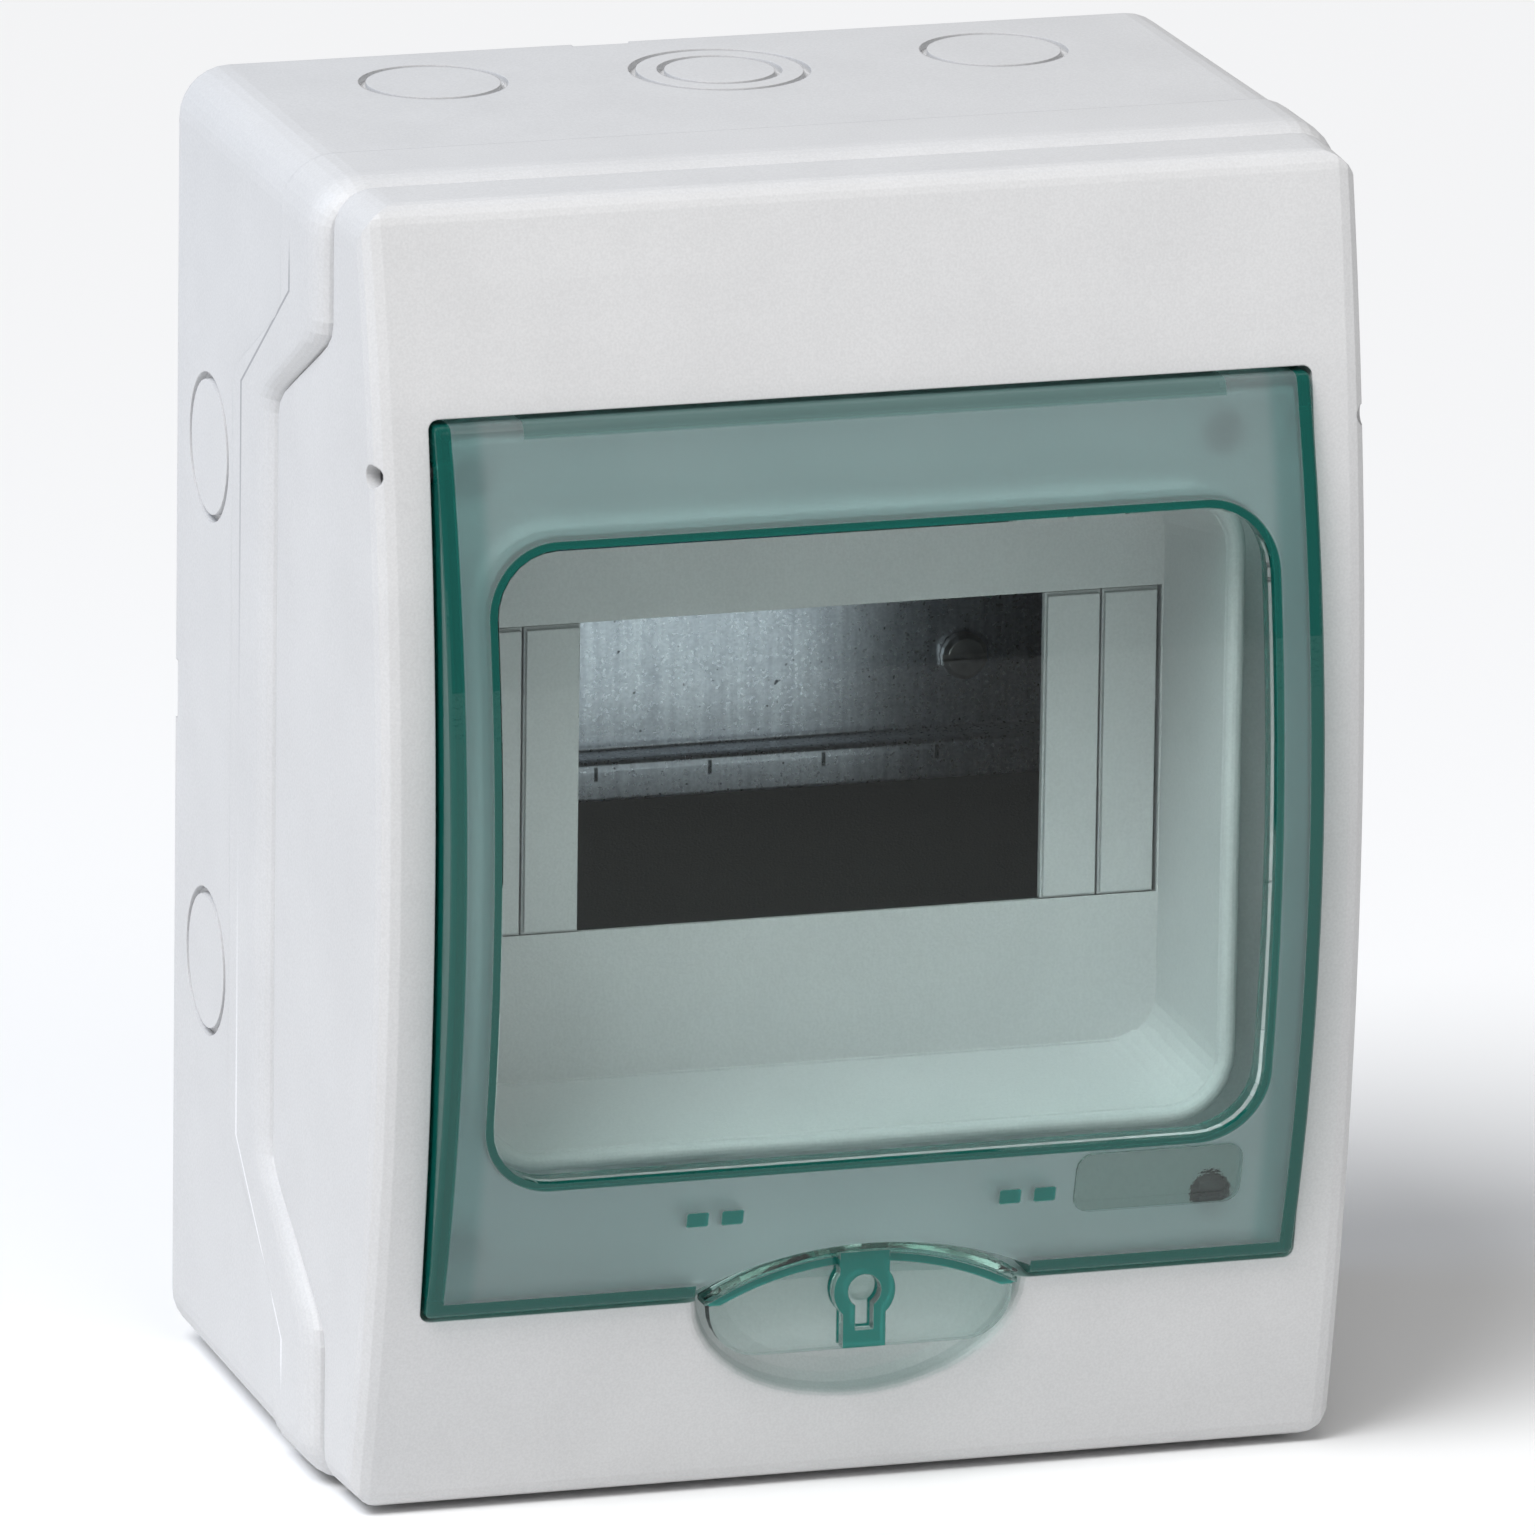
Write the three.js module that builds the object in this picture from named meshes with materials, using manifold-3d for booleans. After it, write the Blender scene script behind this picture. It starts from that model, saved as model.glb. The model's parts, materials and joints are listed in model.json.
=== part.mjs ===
// Surface-mounted load centre for six 18 mm modules: base, lift-off cover, see-through flap door.
// Millimetres, +Z up, front towards -Y, origin at the centre of the rear (wall) face.
import * as THREE from 'three';
import { mergeVertices } from 'three/addons/utils/BufferGeometryUtils.js';
import Module from 'manifold-3d';

const wasm = await Module();
wasm.setup();

// ---- driving dimensions ----------------------------------------------------------------------
const HEIGHT = 200;
const COLLAR_WIDTH = 159;
const GAP = 0.3;
const MODULE = 18;
const MODULES = 6;
const OPEN_MODULES = 4;
const BLANK_STRIPS = 4;

const BASE = { w: 156.4, h: 198.6, r: 7.5, wall: 2.6, rear: 3, spread: 0.00015, stretch: 0.00004 };
const COLLAR = { w: COLLAR_WIDTH, h: HEIGHT, r: 8, depth: 18.6, round: 6, drop: 3, steps: 6, inner: 5 };
const COVER = { w: 153.4, h: 198.8, r: 6, wall: 2.4, edge: 3.4, bevel: 3, spread: 0.0005,
  stretch: 0.0001, back: -10, segments: 22, rearRound: 1.6, rearSteps: 4 };

// front rim of the base, seen from the side: it steps back over the middle of the height
const SEAM = { ends: -79.2, middle: -53.6, topOut: 79, topIn: 59, botIn: -53, botOut: -78,
  knee: 0.25, steps: 10 };

// bulged front faces, as circles seen from the side
const FRONT = { edge: -92.7, middle: -105.5 };
const DOOR = { w: 134.8, h: 136, r: 0.9, edge: -101, apex: -112, skin: 2.4, rim: -93.8, lip: 1.5,
  bevel: 0.8, inner: 0.6, open: 4, segments: 18 };
const RECESS = { w: 136, h: 137.6, r: 1.5, floor: -87.5, wall: 2 };
const TUB = { front: -96, frontW: 113.8, frontTop: 48.4, frontBottom: -45.2, rearW: 109.2,
  rearTop: 44.5, rearBottom: -41.3, r: 8, rim: 2.8, rimSteps: 8 };
const PLATE_FRONT = -72.2;
const PLATE_WALL = 2;

// device row
const ROW_Z = 5.2;
const SLOT_HEIGHT = 47.2;
const STRIP = { w: MODULE / 2, margin: 0.45, step: 0.8 };
const RAIL = { face: -24.6, length: 124, height: 35, depth: 7.5, flange: 5, sheet: 1.2,
  bend: 1.5, hem: 0.4 };
const RAIL_SCREW = { x: 40.5, head: 3.6, headHeight: 2, shank: 1.8, depth: 12 };
const RAIL_POST = { w: 12, h: 25 };

// knock-outs
const KNOCKOUT = { width: 1.1, depth: 1 };
const SIDE_KNOCKOUT = { r: 10.8, y: -18.5, dz: 40 };
const TOP_KNOCKOUT = { r: 10.7, x: 44, y: -18.5 };
const MIDDLE_KNOCKOUT = { outer: 13.2, inner: 8.9, y: -21 };
const NOTCH = { length: 9, depth: 1.1, topX: -12.5, sideZ: 3 };
const WALL_HOLE = { x: 60, z: 78, r: 2.6, travel: 4 };
const RING_SEGMENTS = 40;
const CORNER_SEGMENTS = 7;
const CURVE_SEGMENTS = 3;
const EDGE_SEGMENTS = 4;
const SMALL_SEGMENTS = 12;
const PIN_SEGMENTS = 16;

// cover screws and their columns
const SCREW = { x: 58.4, top: 56.2, bottom: -60.9, head: 2.8, headHeight: 2.6, shank: 1.7 };
const SCREW_SLOT = { w: 1, depth: 1 };
const HEAD_ROUNDING = 0.35;
const COLUMN = { r: 6.2, end: -58, bore: 2.1, sink: 3.3, seat: -84.6, post: 5.6, socket: 14,
  clear: 2 };

// hinge and door furniture
const HINGE = { y: -98.5, z: 60.6, pin: 1.45, bore: 1.8, boss: 3.7, inner: 65.2, lug: 3.2,
  lugInner: 65, outer: 74.5 };
const WINDOW = { w: 118.8, h: 95.8, r: 9.5, z: 1.6, pane: 2, inset: 0.5, rib: 1.7, ribDepth: 6 };
const CATCH = { x: 24.25, step: 2.7, w: 3.4, z: -54.4, h: 2.4, front: -103.5, rear: -95.5 };
const GRIP = { rx: 24.9, rz: 16.8, z: -68.7, depth: 9, lip: 2, steps: 7, proud: 5, back: -88, wall: 4.2 };
const TAB = { w: 47.2, bottom: -77.5, r: 7.5, face: -100.4, back: -98.2 };
// arched opening in the door's lower edge; it narrows and drops from the skin back to the tab
const ARCH = { half: 26.1, apex: -60.5, r: 60, front: -104.5, narrow: 0.904, drop: 2.4, wall: 1.3,
  rear: -96.8, foot: -69.2, segments: 16, sunk: 0.15, root: 0.8 };
const BOSS = { r: 4.8, eye: 2.55, z: -68.2, leg: 3.35, slot: 1.4, slotEnd: -74.2, foot: -76.9,
  face: -102.2, neck: 3.9, neckTop: -62, dome: 2.1 };
const LABEL = { x: 44.5, z: -53, w: 26, h: 9.6, r: 2.5, rise: 0.4 };

// seal
const SEAL = { outer: 3, inner: 4.9, depth: 0.9 };
const LEDGE = { outer: 1.5, inner: 5.6, depth: 2.4, gap: 0.5 };

// terminal bar
const TERMINAL = { z: -66, y: -21, w: 29, h: 9, pitch: 6.2, lip: 1, bore: 1.15, boreY: 3 };
const TERMINAL_SCREW = { head: 2, headHeight: 1.6, shank: 1.4, length: 1.2, raise: 0.2, well: 4 };
const SCREW_STEPS = [-1.5, -0.5, 0.5, 1.5];
const TERMINAL_X = [-16, 16];
const CARRIER = { w: 72, h: 15, depth: 10, arm: 2.4 };

const MERGE = 1e-4;
const FAR = 130;
const OVER = 1;

// ---- materials -------------------------------------------------------------------------------
function paint(name, color, roughness, metalness) {
  const material = new THREE.MeshStandardMaterial({ color, roughness, metalness });
  material.name = name;
  return material;
}

const HOUSING = paint('housing_plastic', 0xd9d9d6, 0.5, 0);
const DOOR_TINT = paint('door_plastic', 0x1f7a68, 0.3, 0);
const PANE = paint('clear_plastic', 0xbfd8d0, 0.1, 0);
const RUBBER = paint('seal_rubber', 0x2a2c2e, 0.9, 0);
const ZINC = paint('zinc_steel', 0xa9aeb4, 0.35, 1);
const STEEL = paint('screw_steel', 0xb8babd, 0.3, 1);
const BRASS = paint('terminal_brass', 0xc19a4b, 0.3, 1);
const CARRIER_BLUE = paint('carrier_plastic', 0x3c5f8c, 0.5, 0);

// ---- helpers ---------------------------------------------------------------------------------
function solid(geometry) {
  const bare = geometry.index ? geometry.toNonIndexed() : geometry.clone();
  bare.deleteAttribute('normal');
  bare.deleteAttribute('uv');
  const merged = mergeVertices(bare, MERGE);
  return new wasm.Manifold(new wasm.Mesh({
    numProp: 3,
    vertProperties: new Float32Array(merged.attributes.position.array),
    triVerts: new Uint32Array(merged.index.array),
  }));
}

function extrusion(points, depth, bevel = 0) {
  return new THREE.ExtrudeGeometry(new THREE.Shape(points), {
    depth: depth - 2 * bevel,
    bevelEnabled: bevel > 0,
    bevelThickness: bevel,
    bevelSize: bevel,
    bevelOffset: -bevel,
    bevelSegments: 3,
    steps: 1,
  }).translate(0, 0, bevel);
}

// outline drawn as (x, z), pushed from yRear forwards to yFront
function alongY(points, yRear, yFront) {
  return extrusion(points, yRear - yFront).rotateX(Math.PI / 2).translate(0, yRear, 0);
}

// outline drawn as (y, z), pushed from xMin to xMax
function alongX(points, xMin, xMax, bevel = 0) {
  const turn = new THREE.Matrix4().makeBasis(
    new THREE.Vector3(0, 1, 0), new THREE.Vector3(0, 0, 1), new THREE.Vector3(1, 0, 0));
  return extrusion(points, xMax - xMin, bevel).applyMatrix4(turn).translate(xMin, 0, 0);
}

// outline drawn as (x, y), pushed from zMin to zMax
function alongZ(points, zMin, zMax) {
  return extrusion(points, zMax - zMin).translate(0, 0, zMin);
}

function arc(cx, cy, rx, ry, from, to, segments) {
  return Array.from({ length: segments + 1 }, (_, i) => {
    const a = from + (to - from) * i / segments;
    return new THREE.Vector2(cx + rx * Math.cos(a), cy + ry * Math.sin(a));
  });
}

// angles from 0 to a quarter turn
function quarterSteps(steps) {
  return Array.from({ length: steps + 1 }, (_, i) => (Math.PI / 2) * (i / steps));
}

function roundedRect(w, h, r, segments = CORNER_SEGMENTS, cx = 0, cy = 0) {
  const quarter = Math.PI / 2;
  const corners = [[1, 1], [-1, 1], [-1, -1], [1, -1]];
  return corners.flatMap(([sx, sy], i) => arc(
    cx + sx * (w / 2 - r), cy + sy * (h / 2 - r), r, r, i * quarter, (i + 1) * quarter, segments));
}

function rect(w, h, cx = 0, cy = 0) {
  const points = [[-w, -h], [w, -h], [w, h], [-w, h]];
  return points.map(([x, y]) => new THREE.Vector2(cx + x / 2, cy + y / 2));
}

function polygon(pairs) {
  return pairs.map(([x, y]) => new THREE.Vector2(x, y));
}

// polygon whose corners, given as [x, y, radius], are rounded
function roundedPolygon(corners) {
  const points = polygon(corners);
  const towards = (from, to, reach) => from.clone().add(to.clone().sub(from).setLength(reach));
  return points.flatMap((corner, i) => {
    const before = points[(i + points.length - 1) % points.length];
    const after = points[(i + 1) % points.length];
    const [, , reach] = corners[i];
    return new THREE.QuadraticBezierCurve(
      towards(corner, before, reach), corner, towards(corner, after, reach)).getPoints(CURVE_SEGMENTS);
  });
}

function circle(r, cx = 0, cy = 0, segments = 20) {
  return arc(cx, cy, r, r, 0, 2 * Math.PI * (1 - 1 / segments), segments - 1);
}

function box(x0, x1, y0, y1, z0, z1) {
  return new THREE.BoxGeometry(x1 - x0, y1 - y0, z1 - z0)
    .translate((x0 + x1) / 2, (y0 + y1) / 2, (z0 + z1) / 2);
}

function add(parts) {
  return parts.map(solid).reduce((sum, part) => sum.add(part));
}

function cut(body, parts) {
  return parts.map(solid).reduce((rest, part) => rest.subtract(part), body);
}

// circle seen from the side through (edge, +-half) and (middle, 0)
function bulge(half, edge, middle) {
  const sag = edge - middle;
  const radius = (half * half + sag * sag) / (2 * sag);
  return { radius, centre: middle + radius };
}

// side outline of a bulged front with rounded top and bottom edges, closed far behind
function bulgeOutline(half, face, edge, inset, yRear, segments) {
  const R = face.radius - inset;
  const H = half - inset;
  const reach = Math.sqrt((R - edge) ** 2 - (H - edge) ** 2);
  const lean = Math.atan2(H - edge, reach);
  const cy = face.centre - reach;
  const quarter = Math.PI / 2;
  return [
    new THREE.Vector2(yRear, -H),
    new THREE.Vector2(yRear, H),
    ...arc(cy, H - edge, edge, edge, quarter, Math.PI - lean, EDGE_SEGMENTS),
    ...arc(face.centre, 0, R, R, Math.PI - lean, Math.PI + lean, segments).slice(1, -1),
    ...arc(cy, edge - H, edge, edge, Math.PI + lean, Math.PI + quarter, EDGE_SEGMENTS),
  ];
}

// walls that stand further out, or less, in proportion to how far they are behind yStart
function draft(geometry, yStart, spread, stretch) {
  const p = geometry.attributes.position;
  for (let i = 0; i < p.count; i += 1) {
    const back = p.getY(i) - yStart;
    p.setX(i, p.getX(i) * (1 + spread * back));
    p.setZ(i, p.getZ(i) * (1 + stretch * back));
  }
  return geometry;
}

// straight-sided funnel along Y between two rectangles
function funnel(rear, front, yRear, yFront, radius, grow = 0) {
  const w = front.w + 2 * grow;
  const h = front.top - front.bottom + 2 * grow;
  const geometry = alongY(roundedRect(w, h, radius), yRear, yFront);
  const p = geometry.attributes.position;
  for (let i = 0; i < p.count; i += 1) {
    const t = (p.getY(i) - yFront) / (yRear - yFront);
    const wide = front.w + (rear.w - front.w) * t + 2 * grow;
    const top = front.top + (rear.top - front.top) * t + grow;
    const bottom = front.bottom + (rear.bottom - front.bottom) * t - grow;
    p.setX(i, p.getX(i) * wide / w);
    p.setZ(i, (top + bottom) / 2 + p.getZ(i) * (top - bottom) / h);
  }
  return geometry;
}

function screwSpots() {
  return [[-1, SCREW.top], [1, SCREW.top], [-1, SCREW.bottom], [1, SCREW.bottom]]
    .map(([side, z]) => [side * SCREW.x, z]);
}

const FRONT_FACE = bulge(COVER.h / 2, FRONT.edge, FRONT.middle);
const DOOR_FACE = bulge(DOOR.h / 2, DOOR.edge, DOOR.apex);

// ---- base ------------------------------------------------------------------------------------
// 0 to 1 over the slope of the seam, straight in the middle and rounded at both knees
function slope(t) {
  const k = SEAM.knee;
  if (t <= 0) return 0;
  if (t >= 1) return 1;
  if (t < k) return t * t / (2 * k * (1 - k));
  if (t > 1 - k) return 1 - (1 - t) ** 2 / (2 * k * (1 - k));
  return (t - k / 2) / (1 - k);
}

function seamY(z) {
  const t = z > 0
    ? (SEAM.topOut - z) / (SEAM.topOut - SEAM.topIn)
    : (z - SEAM.botOut) / (SEAM.botIn - SEAM.botOut);
  return SEAM.ends + (SEAM.middle - SEAM.ends) * slope(t);
}

// heights, from low to high, at which the seam line turns
function seamHeights() {
  const steps = Array.from({ length: SEAM.steps + 1 }, (_, i) => i / SEAM.steps);
  return [
    ...steps.map((t) => SEAM.botOut + t * (SEAM.botIn - SEAM.botOut)),
    ...steps.map((t) => SEAM.topIn + t * (SEAM.topOut - SEAM.topIn)),
  ];
}

// seam line seen from the side, moved by `shift`, closed at yClose
function seamOutline(shift, yClose) {
  const line = seamHeights().map((z) => [seamY(z) + shift, z]);
  return polygon([
    [SEAM.ends + shift, -FAR], ...line, [SEAM.ends + shift, FAR], [yClose, FAR], [yClose, -FAR],
  ].reverse());
}

function behindSeam(shift) {
  return solid(alongX(seamOutline(shift, OVER), -FAR, FAR));
}

// rounded rectangle with a point at every turn of the seam, so that it can follow it
function seamRect(w, h, r) {
  const points = roundedRect(w, h, r);
  const half = points.length / 2;
  const heights = seamHeights();
  const left = [...heights].reverse().map((z) => new THREE.Vector2(-w / 2, z));
  const right = heights.map((z) => new THREE.Vector2(w / 2, z));
  return [...points.slice(0, half), ...left, ...points.slice(half), ...right];
}

// closed ring from a looped profile of [inset, along]; `outline` draws the loop at each inset
function sweptRing(profile, outline, depthAt) {
  const loops = profile.map(([inset]) => outline(inset));
  const count = loops[0].length;
  const vertices = [];
  const faces = [];
  profile.forEach(([, along], k) => {
    const next = ((k + 1) % profile.length) * count;
    loops[k].forEach((point, i) => {
      const a = k * count + i;
      const b = k * count + ((i + 1) % count);
      const c = next + ((i + 1) % count);
      const d = next + i;
      vertices.push(point.x, depthAt(point.y, along), point.y);
      faces.push(a, b, c, a, c, d);
    });
  });
  const geometry = new THREE.BufferGeometry();
  geometry.setAttribute('position', new THREE.Float32BufferAttribute(vertices, 3));
  geometry.setIndex(faces);
  return geometry;
}

// ring that runs with the seam; the profile is a loop of [inset, distance behind it]
function seamRing(w, h, r, profile) {
  return sweptRing(profile, (inset) => seamRect(w - 2 * inset, h - 2 * inset, r - inset),
    (z, behind) => seamY(z) + behind);
}

function squareProfile(inner, outer, front, rear) {
  return [[outer, rear], [outer, front], [inner, front], [inner, rear]];
}

function ringGroove(r, depth) {
  const half = KNOCKOUT.width / 2;
  const outer = solid(extrusion(circle(r + half, 0, 0, RING_SEGMENTS), depth));
  return outer.subtract(solid(extrusion(circle(r - half, 0, 0, RING_SEGMENTS), depth + OVER)));
}

// grooves that mark the knock-outs; each starts just outside the wall and bites inwards
function knockoutGrooves() {
  const depth = KNOCKOUT.depth + OVER;
  const quarter = 90;
  const grooves = [];
  for (const side of [-1, 1]) {
    for (const dz of [-SIDE_KNOCKOUT.dz, SIDE_KNOCKOUT.dz]) {
      grooves.push(ringGroove(SIDE_KNOCKOUT.r, depth).rotate([0, -side * quarter, 0])
        .translate([side * (BASE.w / 2 + OVER), SIDE_KNOCKOUT.y, ROW_Z + dz]));
    }
  }
  const rings = [-TOP_KNOCKOUT.x, TOP_KNOCKOUT.x].map((x) => [x, TOP_KNOCKOUT.y, TOP_KNOCKOUT.r]);
  for (const r of [MIDDLE_KNOCKOUT.outer, MIDDLE_KNOCKOUT.inner]) {
    rings.push([0, MIDDLE_KNOCKOUT.y, r]);
  }
  for (const [x, y, r] of rings) {
    grooves.push(ringGroove(r, depth).translate([x, y, BASE.h / 2 - KNOCKOUT.depth]));
    grooves.push(ringGroove(r, depth).translate([x, y, -BASE.h / 2 - OVER]));
  }
  return grooves;
}

// flat band with a full, rounded front edge
function collarProfile() {
  const edge = quarterSteps(COLLAR.steps).map((t) => [
    COLLAR.drop * (1 - Math.cos(t)), COLLAR.round * (1 - Math.sin(t))]);
  return [[0, COLLAR.depth], ...edge, [COLLAR.inner, 0], [COLLAR.inner, COLLAR.depth]];
}

// outline of the space inside the base, made smaller by `gap`
function insideBase(gap) {
  const inset = 2 * (BASE.wall + gap);
  return roundedRect(BASE.w - inset, BASE.h - inset, BASE.r - BASE.wall);
}

function baseBody() {
  const outside = alongY(roundedRect(BASE.w, BASE.h, BASE.r), 0, -FAR);
  const rear = solid(draft(outside, 0, -BASE.spread, -BASE.stretch))
    .intersect(behindSeam(COLLAR.round));
  const collar = solid(seamRing(COLLAR.w, COLLAR.h, COLLAR.r, collarProfile()));
  const cavity = alongY(insideBase(0), -BASE.rear, -FAR);
  return rear.add(collar).subtract(solid(cavity)).add(sealLedge());
}

// shelf inside the rim that the seal lies on
function sealLedge() {
  const front = LEDGE.gap + SEAL.depth + GAP;
  return solid(seamRing(BASE.w, BASE.h, BASE.r,
    squareProfile(LEDGE.inner, LEDGE.outer, front, front + LEDGE.depth)));
}

function rimSeal() {
  return solid(seamRing(BASE.w, BASE.h, BASE.r,
    squareProfile(SEAL.inner, SEAL.outer, LEDGE.gap, LEDGE.gap + SEAL.depth)));
}

function basePosts() {
  const columns = screwSpots().map(([x, z]) => alongY(
    circle(COLUMN.post, x, z), -OVER, COLUMN.end + GAP));
  const railPosts = [-1, 1].map((side) => alongY(
    rect(RAIL_POST.w, RAIL_POST.h, side * RAIL_SCREW.x, ROW_Z), -OVER,
    RAIL.face + RAIL.depth + GAP));
  const carrierPost = alongY(
    rect(CARRIER.w / 2, CARRIER.h / 2, 0, TERMINAL.z), -OVER, TERMINAL.y + CARRIER.depth + GAP);
  return [...columns, ...railPosts, carrierPost];
}

function baseHoles() {
  const sockets = screwSpots().map(([x, z]) => alongY(
    circle(COLUMN.bore, x, z), COLUMN.end + COLUMN.socket, COLUMN.end - OVER));
  const railHoles = [-1, 1].map((side) => alongY(
    circle(RAIL_SCREW.shank + GAP, side * RAIL_SCREW.x, ROW_Z, SMALL_SEGMENTS),
    RAIL.face + RAIL.depth + RAIL_SCREW.depth, RAIL.face));
  const wallHoles = [-1, 1].flatMap((sx) => [-1, 1].map((sz) => alongY(
    roundedRect(2 * WALL_HOLE.r + WALL_HOLE.travel, 2 * WALL_HOLE.r, WALL_HOLE.r, EDGE_SEGMENTS,
      sx * WALL_HOLE.x, sz * WALL_HOLE.z), OVER, -BASE.rear - OVER)));
  const notches = [
    box(NOTCH.topX - NOTCH.length / 2, NOTCH.topX + NOTCH.length / 2, -NOTCH.depth, OVER,
      BASE.h / 2 - BASE.wall / 2, BASE.h),
    box(-BASE.w, -BASE.w / 2 + BASE.wall / 2, -NOTCH.depth, OVER,
      NOTCH.sideZ - NOTCH.length / 2, NOTCH.sideZ + NOTCH.length / 2),
  ];
  return [...sockets, ...railHoles, ...wallHoles, ...notches];
}

function baseShell() {
  const shell = cut(baseBody().add(add(basePosts())), baseHoles());
  return knockoutGrooves().reduce((rest, groove) => rest.subtract(groove), shell);
}

function dinRail() {
  const half = RAIL.height / 2;
  const inner = half - RAIL.flange;
  const t = RAIL.sheet;
  const front = RAIL.face;
  const back = RAIL.face + RAIL.depth;
  const { bend, hem } = RAIL;
  const profile = roundedPolygon([
    [front, half, hem], [front, inner - t, bend], [back - t, inner - t, hem],
    [back - t, -inner + t, hem], [front, -inner + t, bend], [front, -half, hem],
    [front + t, -half, hem], [front + t, -inner, hem], [back, -inner, bend],
    [back, inner, bend], [front + t, inner, hem], [front + t, half, hem],
  ]).map((p) => p.add(new THREE.Vector2(0, ROW_Z))).reverse();
  const holes = [-1, 1].map((side) => alongY(
    circle(RAIL_SCREW.shank + GAP, side * RAIL_SCREW.x, ROW_Z, SMALL_SEGMENTS), back + OVER, front));
  return cut(solid(alongX(profile, -RAIL.length / 2, RAIL.length / 2)), holes);
}

// pan head towards the front with a straight slot, round shank behind it
function slottedScrew(x, z, seat, head, headHeight, shank, length) {
  const edge = headHeight * HEAD_ROUNDING;
  const profile = polygon([
    [0, 0], [head - edge, 0], [head, edge], [head, headHeight],
    [shank, headHeight], [shank, headHeight + length], [0, headHeight + length],
  ]);
  const body = new THREE.LatheGeometry(profile, PIN_SEGMENTS).translate(x, seat - headHeight, z);
  const slot = box(x - head - OVER, x + head + OVER, seat - headHeight - OVER,
    seat - headHeight + SCREW_SLOT.depth, z - SCREW_SLOT.w / 2, z + SCREW_SLOT.w / 2);
  return cut(solid(body), [slot]);
}

function railScrew(side) {
  const seat = RAIL.face + RAIL.depth - RAIL.sheet - GAP;
  return slottedScrew(side * RAIL_SCREW.x, ROW_Z, seat, RAIL_SCREW.head, RAIL_SCREW.headHeight,
    RAIL_SCREW.shank, RAIL_SCREW.depth);
}

function terminalCarrier() {
  const back = TERMINAL.y + CARRIER.depth;
  const plate = box(-CARRIER.w / 2, CARRIER.w / 2, back - CARRIER.arm, back,
    TERMINAL.z - CARRIER.h / 2, TERMINAL.z + CARRIER.h / 2);
  const arms = [-1, 1].map((side) => {
    const edge = side * (CARRIER.h / 2 - CARRIER.arm / 2);
    return box(-CARRIER.w / 2, CARRIER.w / 2, TERMINAL.y, back,
      TERMINAL.z + edge - CARRIER.arm / 2, TERMINAL.z + edge + CARRIER.arm / 2);
  });
  return add([plate, ...arms]);
}

function terminalSpots(x) {
  return SCREW_STEPS.map((step) => x + step * TERMINAL.pitch);
}

function terminalBar(x) {
  const back = TERMINAL.y + CARRIER.depth - CARRIER.arm - GAP;
  const bar = box(x - TERMINAL.w / 2, x + TERMINAL.w / 2, TERMINAL.y - TERMINAL.lip, back,
    TERMINAL.z - TERMINAL.h / 2, TERMINAL.z + TERMINAL.h / 2);
  const holes = terminalSpots(x).flatMap((sx) => [
    alongY(circle(TERMINAL_SCREW.head + GAP, sx, TERMINAL.z, SMALL_SEGMENTS),
      TERMINAL.y + TERMINAL_SCREW.well, TERMINAL.y - TERMINAL.lip - OVER),
    alongZ(circle(TERMINAL.bore + GAP, sx, TERMINAL.y + TERMINAL.boreY, SMALL_SEGMENTS),
      TERMINAL.z - TERMINAL.h, TERMINAL.z + TERMINAL.h),
  ]);
  return cut(solid(bar), holes);
}

function terminalScrew(x) {
  return slottedScrew(x, TERMINAL.z, TERMINAL.y - TERMINAL_SCREW.raise, TERMINAL_SCREW.head,
    TERMINAL_SCREW.headHeight, TERMINAL_SCREW.shank, TERMINAL_SCREW.length);
}

// ---- cover -----------------------------------------------------------------------------------
function coverOuter(inset, bevel) {
  const wide = COVER.w / 2 - inset;
  const slab = alongX(
    bulgeOutline(COVER.h / 2, FRONT_FACE, COVER.edge, inset, COVER.back, COVER.segments),
    -wide, wide, bevel);
  const outline = alongY(roundedRect(
    COVER.w - 2 * inset, COVER.h - 2 * inset, COVER.r - inset), COVER.back, -FAR);
  const spread = (geometry) => draft(geometry, FRONT.edge, COVER.spread, COVER.stretch);
  return solid(spread(slab)).intersect(solid(spread(outline)));
}

function ellipsePoints(rx, rz, z) {
  return arc(0, z, rx, rz, 0, 2 * Math.PI * (1 - 1 / RING_SEGMENTS), RING_SEGMENTS - 1);
}

// finger recess: a bowl with a rounded lip that follows the bulged front
function gripBowl() {
  const profile = [
    [0, -GRIP.proud],
    [GRIP.rx + GRIP.lip, -GRIP.proud],
    ...quarterSteps(EDGE_SEGMENTS).reverse().map((t) => [
      GRIP.rx + GRIP.lip * (1 - Math.cos(t)), GRIP.lip * (1 - Math.sin(t))]),
    ...quarterSteps(GRIP.steps).slice(1).map((t) => [
      GRIP.rx * Math.cos(t), GRIP.lip + (GRIP.depth - GRIP.lip) * Math.sin(t)]),
  ];
  profile[profile.length - 1][0] = 0;
  const geometry = new THREE.LatheGeometry(polygon(profile), RING_SEGMENTS)
    .scale(1, 1, GRIP.rz / GRIP.rx).translate(0, 0, GRIP.z);
  const p = geometry.attributes.position;
  for (let i = 0; i < p.count; i += 1) {
    const face = FRONT_FACE.centre - Math.sqrt(FRONT_FACE.radius ** 2 - p.getZ(i) ** 2);
    p.setY(i, p.getY(i) + face);
  }
  return geometry;
}

// cylinder along X on one side, from |x| = from out to |x| = to
function sideBar(r, side, from, to) {
  return alongX(circle(r, HINGE.y, HINGE.z, PIN_SEGMENTS),
    side > 0 ? from : -to, side > 0 ? to : -from);
}

function tubFunnel(yRear, yFront, grow) {
  return funnel({ w: TUB.rearW, top: TUB.rearTop, bottom: TUB.rearBottom },
    { w: TUB.frontW, top: TUB.frontTop, bottom: TUB.frontBottom }, yRear, yFront, TUB.r, grow);
}

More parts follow.
